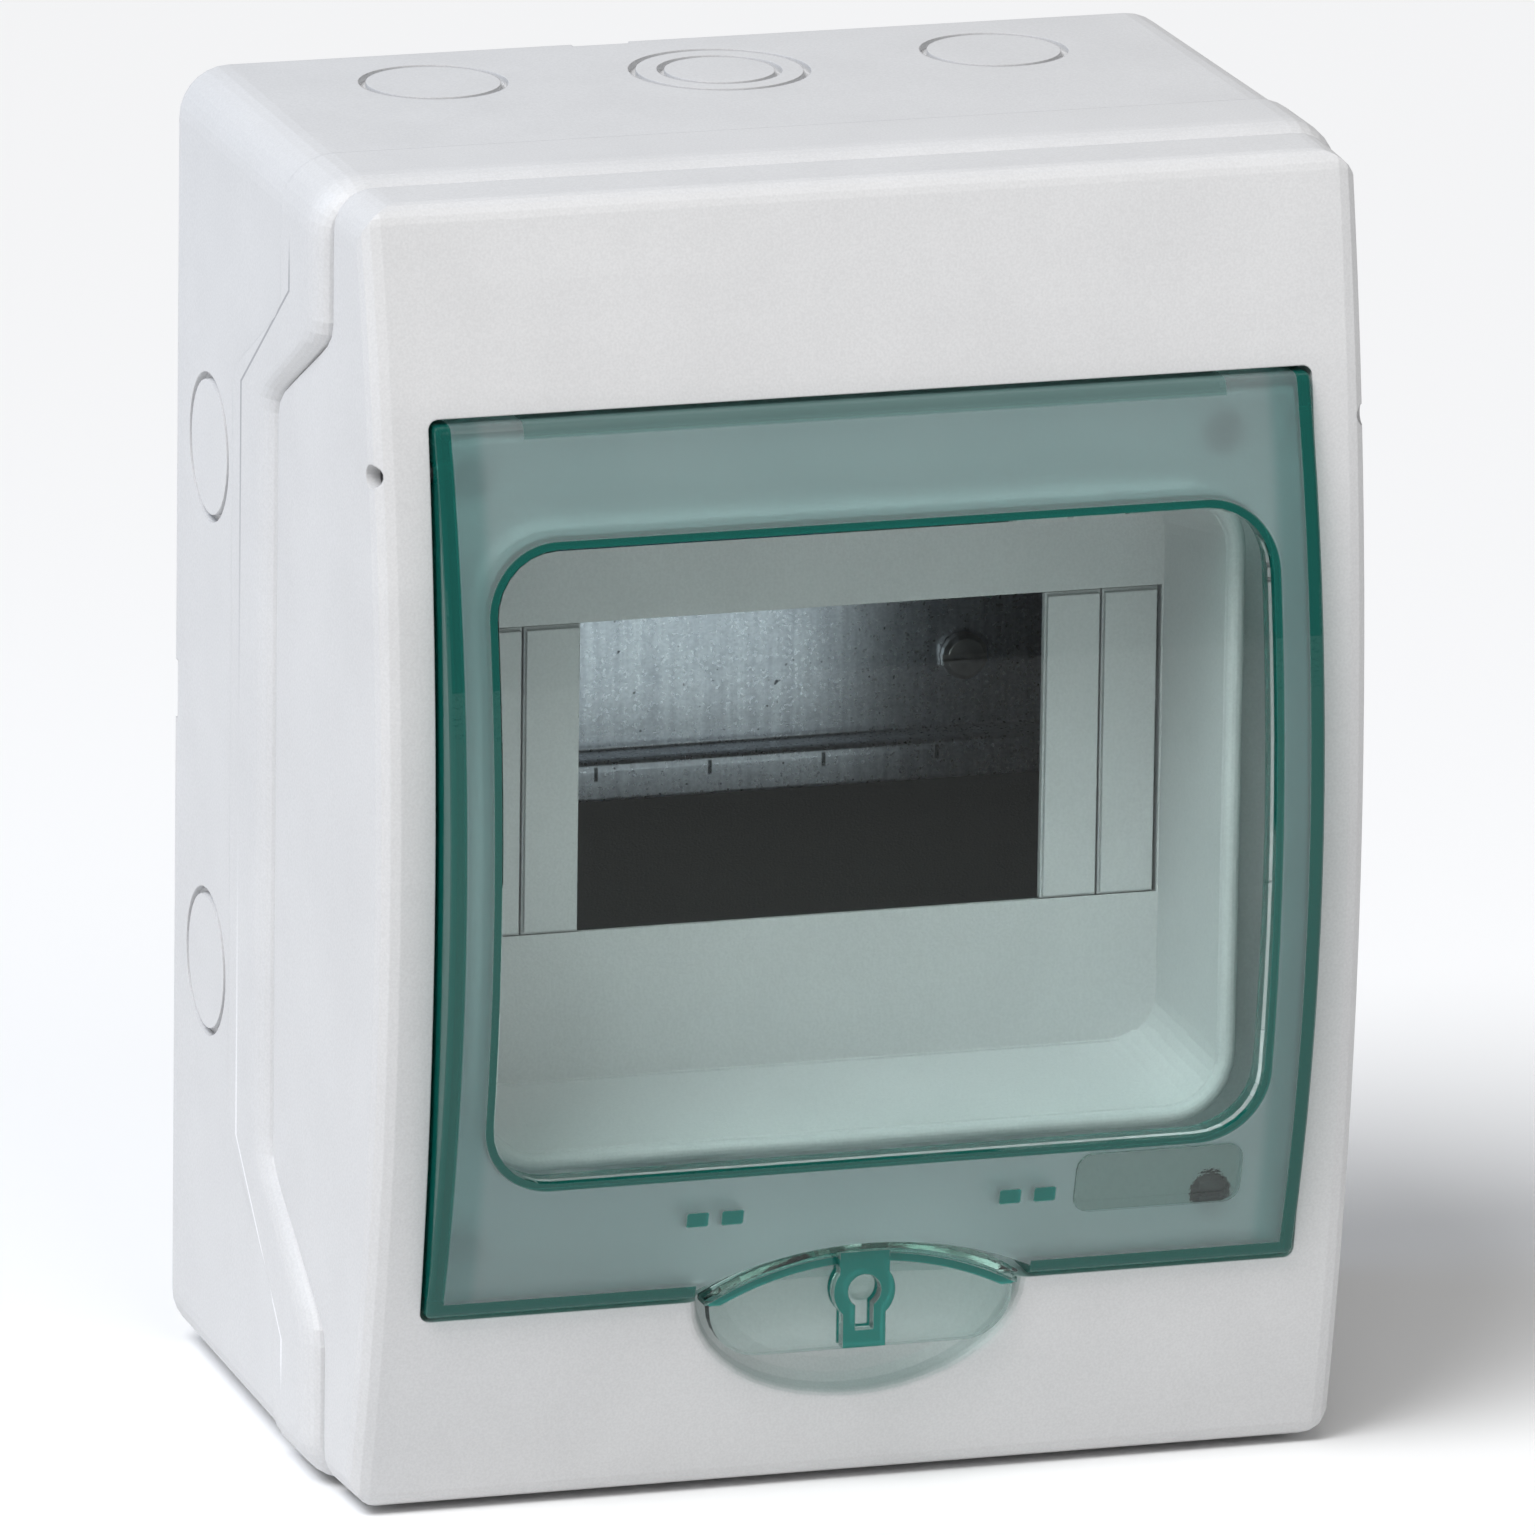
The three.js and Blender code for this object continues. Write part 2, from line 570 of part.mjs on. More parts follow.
function coverBlocks(outer) {
  const grow = 2 * RECESS.wall;
  const rim = alongY(roundedRect(RECESS.w + grow, RECESS.h + grow, RECESS.r + RECESS.wall),
    RECESS.floor + RECESS.wall, -FAR);
  const grip = alongY(ellipsePoints(GRIP.rx + GRIP.wall, GRIP.rz + GRIP.wall, GRIP.z),
    GRIP.back, -FAR);
  const bosses = [-1, 1].map((side) => sideBar(HINGE.boss, side, RECESS.w / 2 - OVER, FAR));
  const columns = screwSpots().map(([x, z]) => alongY(
    circle(COLUMN.r, x, z), COLUMN.end, RECESS.floor - OVER));
  const tub = tubFunnel(PLATE_FRONT + PLATE_WALL, TUB.front, RECESS.wall);
  return add([rim, grip, ...bosses, ...columns]).intersect(outer).add(solid(tub));
}

// raised edge round the mouth of the tub, with a full rounded crest
function tubRim() {
  const half = TUB.rim / 2;
  const height = TUB.frontTop - TUB.frontBottom;
  const middle = (TUB.frontTop + TUB.frontBottom) / 2;
  const crest = arc(-half, TUB.front + half, half, half, Math.PI, 2 * Math.PI, TUB.rimSteps)
    .map((point) => [point.x, point.y]);
  const root = RECESS.floor + OVER;
  const inside = 2 * OVER;
  const profile = [[-TUB.rim, root], ...crest, [inside, TUB.front + half + OVER], [inside, root]];
  return sweptRing(profile, (inset) => roundedRect(
    TUB.frontW - 2 * inset, height - 2 * inset, TUB.r - inset, CORNER_SEGMENTS, 0, middle),
  (z, along) => along);
}

function tubVoids() {
  return [
    tubFunnel(PLATE_FRONT, TUB.front, 0),
    alongY(rect(MODULES * MODULE + 2 * GAP, SLOT_HEIGHT + 2 * GAP, 0, ROW_Z),
      PLATE_FRONT + PLATE_WALL + OVER, PLATE_FRONT - OVER),
  ];
}

function coverVoids() {
  const recess = alongY(roundedRect(RECESS.w, RECESS.h, RECESS.r), RECESS.floor, -FAR);
  const sinks = screwSpots().flatMap(([x, z]) => [
    alongY(circle(COLUMN.sink, x, z), COLUMN.seat, -FAR),
    alongY(circle(COLUMN.bore, x, z), COLUMN.end + OVER, COLUMN.seat - OVER),
  ]);
  const hinge = alongX(circle(HINGE.bore, HINGE.y, HINGE.z, PIN_SEGMENTS), -FAR, FAR);
  return [recess, gripBowl(), ...sinks, hinge];
}

// what is cut away to round the rear edge of the cover, along the seam
function rearRounding() {
  const r = COVER.rearRound;
  const edge = quarterSteps(COVER.rearSteps).map((t) => [
    r * (1 - Math.cos(t)), r * (Math.sin(t) - 1) - GAP]);
  const profile = [[r, OVER], [-OVER, OVER], [-OVER, -r - GAP], ...edge];
  return draft(seamRing(COVER.w, COVER.h, COVER.r, profile), FRONT.edge, COVER.spread, COVER.stretch);
}

function coverShell() {
  const outer = coverOuter(0, COVER.bevel).subtract(solid(rearRounding()));
  const skin = outer.subtract(coverOuter(COVER.wall, 0));
  const framed = cut(skin.add(coverBlocks(outer)), coverVoids()).add(solid(tubRim()));
  const full = cut(framed, tubVoids());
  const core = solid(alongY(insideBase(OVER), 2 * OVER, -FAR));
  return full.subtract(behindSeam(-GAP).subtract(core));
}

// thin strip with a narrower raised face; the first of each pair stands next to the opening
function blankStrip(index) {
  const side = index < 2 ? -1 : 1;
  const x = side * (OPEN_MODULES * MODULE / 2 + (index % 2 + 0.5) * STRIP.w);
  const inset = 2 * STRIP.margin;
  const back = rect(STRIP.w - GAP, SLOT_HEIGHT, x, ROW_Z);
  const face = rect(STRIP.w - inset, SLOT_HEIGHT - inset, x, ROW_Z);
  return add([
    alongY(back, PLATE_FRONT + PLATE_WALL, PLATE_FRONT + STRIP.step),
    alongY(face, PLATE_FRONT + PLATE_WALL, PLATE_FRONT),
  ]);
}

function coverScrew([x, z]) {
  return slottedScrew(x, z, COLUMN.seat - GAP, SCREW.head, SCREW.headHeight, SCREW.shank,
    COLUMN.end - COLUMN.seat + COLUMN.socket - COLUMN.clear);
}

function hingePin(side) {
  return solid(sideBar(HINGE.pin, side, HINGE.inner, HINGE.outer));
}

// ---- door ------------------------------------------------------------------------------------
// with a larger inset the rear end moves forward `DOOR.open` times as far: the skirt is open behind
function doorOuter(inset, bevel) {
  const wide = DOOR.w / 2 - inset;
  const slab = alongX(
    bulgeOutline(DOOR.h / 2, DOOR_FACE, DOOR.lip, inset, DOOR.rim + inset * DOOR.open, DOOR.segments),
    -wide, wide, bevel);
  const outline = alongY(roundedRect(
    DOOR.w - 2 * inset, DOOR.h - 2 * inset, Math.max(DOOR.r - inset, DOOR.inner)), DOOR.rim, -FAR);
  return solid(slab).intersect(solid(outline));
}

// outline of the arched opening: `t` runs from the skin (0) to the tab (1)
function archOutline(grow, t) {
  const narrow = 1 - (1 - ARCH.narrow) * t;
  const R = ARCH.r + grow;
  const half = ARCH.half + grow;
  const lean = Math.asin(half / R);
  const quarter = Math.PI / 2;
  const top = arc(0, ARCH.apex - ARCH.r, R, R, quarter - lean, quarter + lean, ARCH.segments);
  const outline = [...top, new THREE.Vector2(-half, -FAR), new THREE.Vector2(half, -FAR)];
  return outline.map((p) => new THREE.Vector2(p.x * narrow, p.y - ARCH.drop * t));
}

// the opening between the skin and the tab, with its walls moved outwards by `grow`
function archScoop(grow) {
  const geometry = alongY(archOutline(grow, 0), TAB.face + ARCH.root, ARCH.front);
  const p = geometry.attributes.position;
  for (let i = 0; i < p.count; i += 1) {
    const t = (p.getY(i) - ARCH.front) / (TAB.face - ARCH.front);
    p.setX(i, p.getX(i) * (1 - (1 - ARCH.narrow) * t));
    p.setZ(i, p.getZ(i) - ARCH.drop * t);
  }
  return geometry;
}

// sloping wall between the skin and the tab, and the skirt that goes on behind it
function archWalls() {
  const above = solid(alongY(rect(FAR, FAR, 0, ARCH.foot + FAR / 2), 0, -FAR));
  const slopes = solid(archScoop(ARCH.wall)).subtract(solid(archScoop(0)))
    .intersect(doorOuter(ARCH.sunk, 0));
  const skirt = solid(alongY(archOutline(ARCH.root, 1), ARCH.rear, TAB.face))
    .subtract(solid(alongY(archOutline(-ARCH.wall, 1), ARCH.rear + OVER, TAB.face - OVER)));
  return slopes.add(skirt).intersect(above);
}

// rounded plate that closes the arched opening and reaches below it
function gripTab() {
  const height = ARCH.apex - TAB.bottom;
  const plate = roundedRect(TAB.w, height, TAB.r, CORNER_SEGMENTS, 0, TAB.bottom + height / 2);
  return solid(alongY(plate, TAB.back, TAB.face))
    .intersect(solid(alongY(archOutline(ARCH.root, 1), 0, -FAR)));
}

function lockBoss() {
  const round = alongY(circle(BOSS.r, 0, BOSS.z, RING_SEGMENTS), TAB.face + OVER, BOSS.face);
  const leg = alongY(rect(2 * BOSS.leg, BOSS.z - BOSS.foot, 0, (BOSS.z + BOSS.foot) / 2),
    TAB.face + OVER, BOSS.face);
  const neck = alongY(rect(2 * BOSS.neck, BOSS.neckTop - BOSS.z, 0, (BOSS.neckTop + BOSS.z) / 2),
    TAB.face + OVER, BOSS.face);
  return [round, leg, neck];
}

function lockHoles() {
  const eye = alongY(circle(BOSS.eye, 0, BOSS.z), TAB.face, -FAR);
  const slot = alongY(rect(2 * BOSS.slot, BOSS.z - BOSS.slotEnd, 0, (BOSS.z + BOSS.slotEnd) / 2),
    TAB.face, -FAR);
  return [eye, slot];
}

// low dome in the middle of the lock boss
function lockDome() {
  return new THREE.SphereGeometry(BOSS.dome, PIN_SEGMENTS, SMALL_SEGMENTS)
    .scale(1, 1 / 2, 1).translate(0, TAB.face + GAP, BOSS.z);
}

function windowHole(grow) {
  return alongY(roundedRect(
    WINDOW.w + 2 * grow, WINDOW.h + 2 * grow, WINDOW.r + grow, CORNER_SEGMENTS, 0, WINDOW.z), 0, -FAR);
}

// rib round the window, behind the skin
function windowRib() {
  return solid(windowHole(WINDOW.rib)).intersect(
    doorOuter(OVER, 0).subtract(doorOuter(WINDOW.ribDepth, 0)));
}

function catches() {
  return [-1, 1].flatMap((side) => [-1, 1].map((prong) => {
    const x = side * CATCH.x + prong * CATCH.step;
    return box(x - CATCH.w / 2, x + CATCH.w / 2, CATCH.front, CATCH.rear,
      CATCH.z - CATCH.h / 2, CATCH.z + CATCH.h / 2);
  }));
}

function labelPanel() {
  return solid(alongY(roundedRect(
    LABEL.w, LABEL.h, LABEL.r, EDGE_SEGMENTS, LABEL.x, LABEL.z), DOOR.rim, -FAR))
    .intersect(doorOuter(-LABEL.rise, 0)).subtract(doorOuter(OVER, 0));
}

function doorFrame() {
  const shell = doorOuter(0, DOOR.bevel).subtract(doorOuter(DOOR.skin, 0));
  const arched = cut(shell, [alongY(archOutline(0, 0), 0, -FAR)]).add(archWalls()).add(gripTab());
  const lugs = [-1, 1].map((side) => sideBar(HINGE.lug, side, HINGE.lugInner, DOOR.w / 2));
  const furniture = add([...lockBoss(), ...catches(), ...lugs]);
  const drilled = cut(arched.add(furniture).add(labelPanel()).add(windowRib()), [
    ...lockHoles(),
    windowHole(GAP),
    alongX(circle(HINGE.bore, HINGE.y, HINGE.z, PIN_SEGMENTS), -FAR, FAR),
  ]);
  return drilled.add(solid(lockDome()));
}

function doorWindow() {
  const pane = doorOuter(WINDOW.inset, 0).subtract(doorOuter(WINDOW.inset + WINDOW.pane, 0));
  return pane.intersect(solid(windowHole(0)));
}

// ---- assembly --------------------------------------------------------------------------------
function mesh(name, manifold, material) {
  const { vertProperties, triVerts, numProp } = manifold.getMesh();
  const geometry = new THREE.BufferGeometry();
  const positions = new Float32Array(vertProperties.length / numProp * 3);
  for (let i = 0; i < positions.length / 3; i += 1) {
    positions.set(vertProperties.subarray(i * numProp, i * numProp + 3), i * 3);
  }
  geometry.setAttribute('position', new THREE.BufferAttribute(positions, 3));
  geometry.setIndex(new THREE.BufferAttribute(new Uint32Array(triVerts), 1));
  geometry.computeVertexNormals();
  const node = new THREE.Mesh(geometry, material);
  node.name = name;
  return node;
}

const part = new THREE.Group();
part.name = 'load_centre';

part.add(mesh('base_shell', baseShell(), HOUSING));
part.add(mesh('rim_seal', rimSeal(), RUBBER));
part.add(mesh('din_rail', dinRail(), ZINC));
part.add(mesh('rail_screw_left', railScrew(-1), STEEL));
part.add(mesh('rail_screw_right', railScrew(1), STEEL));
part.add(mesh('terminal_carrier', terminalCarrier(), CARRIER_BLUE));
TERMINAL_X.forEach((x, bar) => {
  part.add(mesh(`terminal_bar_${bar + 1}`, terminalBar(x), BRASS));
  terminalSpots(x).forEach((sx, i) => {
    part.add(mesh(`terminal_screw_${bar + 1}_${i + 1}`, terminalScrew(sx), STEEL));
  });
});
part.add(mesh('cover_shell', coverShell(), HOUSING));
for (let i = 0; i < BLANK_STRIPS; i += 1) {
  part.add(mesh(`blank_strip_${i + 1}`, blankStrip(i), HOUSING));
}
part.add(mesh('hinge_pin_left', hingePin(-1), STEEL));
part.add(mesh('hinge_pin_right', hingePin(1), STEEL));
screwSpots().forEach((spot, i) => {
  part.add(mesh(`cover_screw_${i + 1}`, coverScrew(spot), STEEL));
});
part.add(mesh('door_frame', doorFrame(), DOOR_TINT));
part.add(mesh('door_window', doorWindow(), PANE));

export default part;
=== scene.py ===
"""Looks of the load centre: plastic housing, green see-through door, rail and screws."""
import json
import math

import bpy
from mathutils import Matrix, Vector


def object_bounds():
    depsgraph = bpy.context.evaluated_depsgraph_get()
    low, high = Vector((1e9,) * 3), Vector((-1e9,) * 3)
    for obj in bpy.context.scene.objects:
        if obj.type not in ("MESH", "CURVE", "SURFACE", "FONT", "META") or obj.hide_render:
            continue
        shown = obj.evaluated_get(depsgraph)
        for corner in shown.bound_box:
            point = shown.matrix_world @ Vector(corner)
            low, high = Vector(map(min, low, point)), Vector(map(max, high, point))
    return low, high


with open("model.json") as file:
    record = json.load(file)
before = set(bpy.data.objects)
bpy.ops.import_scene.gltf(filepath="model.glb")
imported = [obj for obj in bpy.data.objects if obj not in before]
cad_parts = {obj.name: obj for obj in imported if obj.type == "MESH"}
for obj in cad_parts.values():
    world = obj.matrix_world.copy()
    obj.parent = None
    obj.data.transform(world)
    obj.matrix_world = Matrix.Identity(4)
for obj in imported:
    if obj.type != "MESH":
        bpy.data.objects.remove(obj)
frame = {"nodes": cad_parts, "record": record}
cad_low, cad_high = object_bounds()
nodes = frame["nodes"]

# ---- camera, floor and lamps -------------------------------------------------------------------
# lens and sensor in millimetres, all other lengths in metres
CAMERA_YAW = math.radians(17.33)
CAMERA_PITCH = math.radians(15.385)
CAMERA_ROLL = math.radians(0.811)
CAMERA_LENS = 468.4
CAMERA_DISTANCE = 2.996
CAMERA_TARGET = Vector((0.0, -0.050, 0.0))
CAMERA_UP_OFFSET = 0.00146
SENSOR = 36.0
CAMERA_FAR = 20.0

FLOOR_SIZE = 20.0
FLOOR_DROP = 0.0005
FLOOR_COLOUR = (0.94, 0.94, 0.94, 1.0)
FLOOR_ROUGHNESS = 0.9
WORLD_COLOUR = (1.0, 1.0, 1.0, 1.0)
WORLD_STRENGTH = 0.30
KEY_FROM = Vector((-0.47, -0.29, 0.81))
KEY_STRENGTH = 0.82 * math.pi
KEY_ANGLE = math.radians(30)
KEY_COLOUR = (0.98, 0.985, 1.0)
LAMP_SIZE = 0.25
# soft lamps near the object: where, watts, colour
LAMPS = {
    "left_rear": (Vector((-0.34, 0.10, 0.32)), 0.32, (0.52, 0.71, 1.0)),
    "top_front": (Vector((0.0, -0.40, 0.45)), 0.55, (1.0, 0.99, 0.96)),
}

SMOOTH_ANGLE = math.radians(32)

# ---- places on the pieces, metres --------------------------------------------------------------
# a rectangle is width, height, corner radius, middle x, middle z; a round is radius, middle z

# half the width of a mask's soft edge
MASK_SOFT = 0.00012

# hollow of the base, over which shade is painted
INSIDE_RECT = (0.1514, 0.1936, 0.0049, 0.0, 0.0)
INSIDE_Y = -0.0028
INSIDE_SOFT = 0.0002

# door: outline, window, label panel and the two pairs of catch prongs
DOOR_RECT = (0.1348, 0.136, 0.0009, 0.0, 0.0)
WINDOW_RECT = (0.1188, 0.0958, 0.0095, 0.0, 0.0016)
LABEL_RECT = (0.026, 0.0096, 0.0025, 0.0445, -0.053)
CATCH_MIDDLE = 0.02425
CATCH_RECT = (0.0034, 0.0024, 0.0004, 0.0027, -0.0544)

# arch in the door's lower edge, and the dark band along it
ARCH_RADIUS = 0.060
ARCH_CENTRE = -0.1205
ARCH_HALF = 0.0261
ARCH_DROP = 0.0024
ARCH_NARROW = 0.904
ARCH_FOOT = -0.0694
ARCH_WALL = 0.0013

# keyhole-shaped lock boss on the tab
BOSS_ROUND = (0.0048, -0.0682)
BOSS_LEG = (0.0067, 0.0088, 0.0002, 0.0, -0.0726)
BOSS_NECK = (0.0078, 0.0062, 0.0002, 0.0, -0.0651)
EYE_ROUND = (0.00255, -0.0682)
EYE_SLOT = (0.0028, 0.0060, 0.0002, 0.0, -0.0712)

# dark rims of the door; the one along the top edge loses some strength and stops at TOP_GAP
RING_WIDTH = 0.0015
RIM_WIDTH = 0.0024
RIM_OUT = 0.0006
RIM_INNER = 0.0650
TOP_GAP = 0.054
TOP_EDGE = 0.063
TOP_LOSS = 0.30

# where the strips beside the window begin, from the middle of the door
SIDE_STRIP = 0.0595

# module marks on the rail; the shift puts them in place and keeps x above zero
MARK_PITCH = 0.018
MARK_SHIFT = 0.8923
MARK_WIDTH = 0.0004
MARK_TOP = -0.0070
MARK_END = -0.0092

# screw wells of the cover, inside which shade is painted
WELL_RADIUS = 0.0033
WELL_X = 0.0584
WELL_HEIGHTS = (0.0562, -0.0609)
WELL_MOUTH = -0.0868

# fine line along the collar, painted shadow in its upper half and painted highlight in its lower
# half:
# its depth over the middle of the height, how far it comes forward towards the ends, the heights
# between which it does so, and where it fades
COLLAR_LINE_BACK = -0.0396
COLLAR_LINE_STEP = 0.0256
COLLAR_LINE_TOP = (0.0807, 0.0607)
COLLAR_LINE_BOTTOM = (-0.0805, -0.0560)
COLLAR_LINE_HALF = 0.00025
COLLAR_LINE_END = 0.090
COLLAR_LINE_FADE = 0.008
COLLAR_LINE_TONE = 0.062

# ---- opaque materials --------------------------------------------------------------------------
# a pair of colours is the darker and the lighter tone
HOUSING = ((0.645, 0.645, 0.65, 1), (0.675, 0.675, 0.68, 1))
SEAL = ((0.02, 0.02, 0.02, 1), (0.04, 0.04, 0.04, 1))
CARRIER = ((0.05, 0.13, 0.30, 1), (0.07, 0.17, 0.36, 1))
SCREW = ((0.50, 0.50, 0.51, 1), (0.66, 0.66, 0.66, 1))
DULL_SCREW = ((0.05, 0.05, 0.055, 1), (0.08, 0.08, 0.085, 1))
BRASS = ((0.60, 0.42, 0.16, 1), (0.75, 0.55, 0.24, 1))
ZINC = ((0.56, 0.60, 0.66, 1), (0.68, 0.72, 0.78, 1))
WHITE = (1, 1, 1, 1)
# painted shade in the hollow of the base, where little light gets in
BASE_PAINTED_SHADE = (0.14, 0.137, 0.128, 1)
# painted shade inside the screw wells of the cover
WELL_PAINTED_SHADE = (0.05, 0.05, 0.055, 1)
# painted shadow and painted highlight of the fine line along the collar
COLLAR_SHADOW_PAINT = (0.36, 0.36, 0.38, 1)
COLLAR_HIGHLIGHT_PAINT = (0.90, 0.90, 0.92, 1)
DULL_NODES = ("cover_screw", "hinge_pin")

PLASTIC_ROUGHNESS = 0.45
PLASTIC_GLOSS = 0.4
PLASTIC_EDGE = 0.0003
SEAL_ROUGHNESS = 0.8
METAL_ROUGHNESS = 0.3
DULL_ROUGHNESS = 0.5
METAL_EDGE = 0.0002
EDGE_SAMPLES = 6

# noise is scale and detail; a span is the range of it that is used; a bump is strength, metres
CLOUD_SPAN = (0.3, 0.7)
FINE_SPAN = (0.35, 0.65)
PLASTIC_CLOUD = (60, 3)
PLASTIC_GRAIN = (2600, 2)
PLASTIC_SPECKLE = (0.93, 0.93, 0.93, 1)
PLASTIC_BUMP = (0.3, 0.0001)
METAL_CLOUD = (300, 4)
METAL_BUMP = (0.1, 0.0002)

CRYSTAL_SCALE = 2600
CRYSTAL_ROUGHNESS = (0.26, 0.36)
STREAK_SCALE = 900
STREAK_STRETCH = (1.0, 1.0, 0.05)
STREAK_SHADE = (0.80, 0.80, 0.82, 1)
STREAK_BUMP = (0.08, 0.0002)
PIT_NOISE = (900, 1)
PIT_SPAN = (0.74, 0.80)
PIT_COLOUR = (0.10, 0.11, 0.13, 1)
MARK_COLOUR = (0.06, 0.07, 0.08, 1)
RAIL_EDGE = 0.0004

# ---- see-through materials: door, then pane ----------------------------------------------------
FROSTED = ((0.71, 0.84, 0.86, 1), (0.75, 0.87, 0.89, 1))
FROSTED_SIDES = (0.72, 0.88, 0.87, 1)
POLISHED = (0.93, 0.975, 0.975, 1)
RIM_COLOUR = (0.003, 0.145, 0.118, 1)
BAND_COLOUR = (0.005, 0.225, 0.19, 1)
RIM_CLEAR = 0.5
MILKY = 0.86
FROST_ROUGHNESS = 0.30
POLISHED_ROUGHNESS = 0.04
DOOR_IOR = 1.49
DOOR_GLOSS = 0.35
DOOR_CLOUD = (50, 3)
DOOR_GRAIN = (1800, 2)
DOOR_BUMP = (0.15, 0.0001)
DOOR_TINT = (0.13, 0.55, 0.42, 1)
DOOR_DENSITY = 90
DOOR_SHADOW = (0.45, 0.50, 0.50, 1)

PANE = ((0.975, 0.985, 0.98, 1), (0.985, 0.995, 0.99, 1))
PANE_ROUGHNESS = 0.02
PANE_IOR = 1.25
PANE_CLOUD = (40, 2)
PANE_WAVES = (30, 2)
PANE_BUMP = (0.05, 0.0005)
PANE_TINT = (0.11, 0.54, 0.46, 1)
PANE_DENSITY = 60
PANE_SHADOW = (0.63, 0.66, 0.66, 1)


# ---- camera and stage --------------------------------------------------------------------------
def put(thing, name):
    """A new object in the scene."""
    holder = bpy.data.objects.new(name, thing)
    bpy.context.scene.collection.objects.link(holder)
    return holder


def make_camera():
    """A long lens to the left of and above the front."""
    yaw, pitch, roll = CAMERA_YAW, CAMERA_PITCH, CAMERA_ROLL
    level = math.cos(pitch)
    back = Vector((-math.sin(yaw) * level, -math.cos(yaw) * level, math.sin(pitch)))
    side = Vector((math.cos(yaw), -math.sin(yaw), 0.0))
    up = back.cross(side)
    right = side * math.cos(roll) + up * math.sin(roll)
    tilted_up = up * math.cos(roll) - side * math.sin(roll)
    camera = put(bpy.data.cameras.new("camera"), "camera")
    camera.data.lens = CAMERA_LENS
    camera.data.sensor_width = SENSOR
    camera.data.clip_end = CAMERA_FAR
    spot = CAMERA_TARGET + back * CAMERA_DISTANCE - tilted_up * CAMERA_UP_OFFSET
    turn = Matrix((right, tilted_up, back)).transposed().to_4x4()
    camera.matrix_world = Matrix.Translation(spot) @ turn
    bpy.context.scene.camera = camera


def make_world():
    """White surroundings."""
    world = bpy.data.worlds.new("studio")
    world.use_nodes = True
    background = world.node_tree.nodes["Background"]
    background.inputs["Color"].default_value = WORLD_COLOUR
    background.inputs["Strength"].default_value = WORLD_STRENGTH
    bpy.context.scene.world = world
    bpy.context.scene.view_settings.view_transform = "Standard"


def make_floor():
    """Pale floor just under the object."""
    mesh = bpy.data.meshes.new("floor")
    half = FLOOR_SIZE / 2
    level = cad_low.z - FLOOR_DROP
    corners = [(-half, -half, level), (half, -half, level),
               (half, half, level), (-half, half, level)]
    mesh.from_pydata(corners, [], [(0, 1, 2, 3)])
    floor = put(mesh, "floor")
    material, _, shader = new_material("floor")
    shader.inputs["Base Color"].default_value = FLOOR_COLOUR
    shader.inputs["Roughness"].default_value = FLOOR_ROUGHNESS
    mesh.materials.append(material)


def aim(lamp, source):
    lamp.rotation_euler = source.to_track_quat("Z", "Y").to_euler()


def make_lamps():
    """One wide key light and two soft lamps."""
    key = bpy.data.lights.new("key", "SUN")
    key.energy = KEY_STRENGTH
    key.angle = KEY_ANGLE
    key.color = KEY_COLOUR
    aim(put(key, "key"), KEY_FROM)
    for name, (where, watts, colour) in LAMPS.items():
        soft = bpy.data.lights.new(name, "AREA")
        soft.shape = "DISK"
        soft.size = LAMP_SIZE
        soft.energy = watts
        soft.color = colour
        lamp = put(soft, name)
        lamp.location = where
        aim(lamp, where - CAMERA_TARGET)


# ---- building blocks of the materials ----------------------------------------------------------
def new_material(name):
    material = bpy.data.materials.new(name)
    material.use_nodes = True
    tree = material.node_tree
    return material, tree, tree.nodes["Principled BSDF"]


def place(tree):
    """Where a point is on the piece at rest, in metres, as three sockets."""
    coords = tree.nodes.new("ShaderNodeTexCoord")
    split = tree.nodes.new("ShaderNodeSeparateXYZ")
    tree.links.new(coords.outputs["Object"], split.inputs["Vector"])
    return split.outputs["X"], split.outputs["Y"], split.outputs["Z"]


def calc(tree, operation, *values):
    node = tree.nodes.new("ShaderNodeMath")
    node.operation = operation
    for socket, value in zip(node.inputs, values):
        if isinstance(value, (int, float)):
            socket.default_value = value
        else:
            tree.links.new(value, socket)
    return node.outputs["Value"]


def step_up(tree, value, low, high, shape="SMOOTHSTEP"):
    """0 below low, 1 above high, smooth between."""
    node = tree.nodes.new("ShaderNodeMapRange")
    node.interpolation_type = shape
    tree.links.new(value, node.inputs["Value"])
    node.inputs["From Min"].default_value = low
    node.inputs["From Max"].default_value = high
    return node.outputs["Result"]


def between(tree, value, low, high, soft):
    rise = step_up(tree, value, low - soft, low + soft)
    fall = step_up(tree, value, high + soft, high - soft)
    return calc(tree, "MULTIPLY", rise, fall)


def outside_rect(tree, x, z, rect):
    """Distance outside a rounded rectangle in the front view; negative inside."""
    width, height, radius, middle_x, middle_z = rect
    off_x = calc(tree, "ABSOLUTE", calc(tree, "SUBTRACT", x, middle_x))
    off_z = calc(tree, "ABSOLUTE", calc(tree, "SUBTRACT", z, middle_z))
    over_x = calc(tree, "SUBTRACT", off_x, width / 2 - radius)
    over_z = calc(tree, "SUBTRACT", off_z, height / 2 - radius)
    square = calc(tree, "ADD", calc(tree, "POWER", calc(tree, "MAXIMUM", over_x, 0.0), 2.0),
                  calc(tree, "POWER", calc(tree, "MAXIMUM", over_z, 0.0), 2.0))
    inner = calc(tree, "MINIMUM", calc(tree, "MAXIMUM", over_x, over_z), 0.0)
    return calc(tree, "SUBTRACT", calc(tree, "ADD", calc(tree, "SQRT", square), inner), radius)


